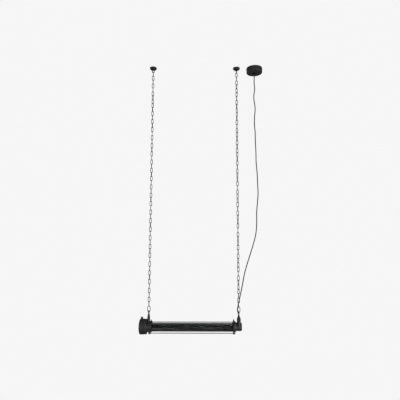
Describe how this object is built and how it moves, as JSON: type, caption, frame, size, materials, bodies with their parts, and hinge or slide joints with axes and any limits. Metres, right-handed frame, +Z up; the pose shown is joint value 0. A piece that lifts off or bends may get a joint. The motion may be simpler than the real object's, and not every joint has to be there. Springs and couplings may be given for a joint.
{
  "type": "tube pendant lamp",
  "caption": "Black industrial tube pendant: a clear glass tube with a mesh sleeve between cast ends, hung on long-link chains from ceiling plates, with a canopy and textile cord.",
  "frame": {"origin": "on the ceiling plane, midway between the two chain hooks", "axes": "+Z up, +X along the lamp towards its small end, +Y away from the side seen in the picture"},
  "size_m": [0.8628, 0.1144, 1.8897],
  "materials": {
    "black_casting": "satin powder coat over casting",
    "black_ceiling_metal": "satin powder coat",
    "black_chain": "satin black coated wire",
    "black_fittings": "blackened steel",
    "black_mesh": "black coated perforated sheet",
    "clear_glass": "clear",
    "seal_rubber": "matte",
    "textile_cord": "braided textile",
    "lead_plastic": "insulated core",
    "opal_tube": "opal",
    "cap_metal": "spun",
    "holder_plastic": "moulded",
    "grip_plastic": "moulded",
    "plated_steel": "zinc plated"
  },
  "bodies": {
    "ceiling": {"left_ceiling_plate": "black_ceiling_metal", "right_ceiling_plate": "black_ceiling_metal", "left_ceiling_hook": "black_chain", "right_ceiling_hook": "black_chain", "canopy_cup": "black_ceiling_metal", "canopy_bracket": "plated_steel", "canopy_side_screws": "black_fittings", "terminal_block": "holder_plastic", "cord_grip": "grip_plastic", "grip_nut": "grip_plastic", "upper_cord": "textile_cord"},
    "top_links": {"left_top_link": "black_chain", "right_top_link": "black_chain"},
    "right_chain": {"right_chain": "black_chain", "middle_cord": "textile_cord", "lower_cord": "textile_cord"},
    "left_chain": {"left_chain": "black_chain"},
    "bottom_links": {"left_bottom_link": "black_chain", "right_bottom_link": "black_chain"},
    "lamp": {"left_housing": "black_casting", "cover_seal": "seal_rubber", "right_housing": "black_casting", "left_lock_screw": "black_fittings", "right_lock_screw": "black_fittings", "bottom_tie_rod": "black_fittings", "back_tie_rod": "black_fittings", "front_tie_rod": "black_fittings", "left_rod_nuts": "black_fittings", "right_rod_nuts": "black_fittings", "left_rod_washers": "black_fittings", "right_rod_washers": "black_fittings", "glass_tube": "clear_glass", "left_glass_seal": "seal_rubber", "right_glass_seal": "seal_rubber", "mesh_sleeve": "black_mesh", "left_lamp_holder": "holder_plastic", "right_lamp_holder": "holder_plastic", "left_holder_strap": "plated_steel", "strap_screws": "plated_steel", "right_holder_post": "plated_steel", "left_hanger": "black_casting", "right_hanger": "black_casting", "left_eye": "black_chain", "right_eye": "black_chain", "gland_body": "black_fittings", "gland_seal": "seal_rubber", "gland_nut": "black_fittings", "end_cord": "textile_cord", "lamp_leads": "lead_plastic"},
    "end_cover": {"end_cover": "black_casting"},
    "cover_screw": {"cover_screw": "black_fittings"},
    "tube_lamp": {"tube_lamp": "opal_tube", "left_lamp_cap": "cap_metal", "right_lamp_cap": "cap_metal"}
  },
  "joints": [
    {"name": "fore_aft_swing", "type": "hinge", "parent": "ceiling", "child": "top_links", "pos_m": [0, 0, -0.03625], "axis": [1, 0, 0], "range_deg": [-15, 15], "deforming": ["upper_cord"]},
    {"name": "side_swing", "type": "hinge", "parent": "top_links", "child": "right_chain", "pos_m": [0.305, 0, -0.07065], "axis": [0, 1, 0], "range_deg": [-10, 10], "deforming": ["middle_cord"]},
    {"name": "left_chain_swing", "type": "hinge", "parent": "top_links", "child": "left_chain", "pos_m": [-0.305, 0, -0.06585], "axis": [0, 1, 0], "range_deg": [-10, 10]},
    {"name": "lamp_level", "type": "hinge", "parent": "right_chain", "child": "bottom_links", "pos_m": [0.305, 0, -1.7124], "axis": [0, 1, 0], "range_deg": [-10, 10], "deforming": ["lower_cord"]},
    {"name": "lamp_roll", "type": "hinge", "parent": "bottom_links", "child": "lamp", "pos_m": [0, 0, -1.74425], "axis": [1, 0, 0], "range_deg": [-15, 15], "deforming": ["end_cord"]},
    {"name": "cover_slide", "type": "slide", "parent": "lamp", "child": "end_cover", "axis": [-1, 0, 0], "range_m": [0, 0.06]},
    {"name": "cover_screw_turn", "type": "hinge", "parent": "end_cover", "child": "cover_screw", "pos_m": [-0.3505, 0, -1.7837], "axis": [0, 0, 1], "continuous": true},
    {"name": "tube_lamp_twist", "type": "hinge", "parent": "lamp", "child": "tube_lamp", "pos_m": [0, 0, -1.8387], "axis": [1, 0, 0], "range_deg": [0, 90]}
  ],
  "couplings": [
    {"joint": "left_chain_swing", "follows": "side_swing", "ratio": 1},
    {"joint": "lamp_level", "follows": "side_swing", "ratio": -1}
  ]
}
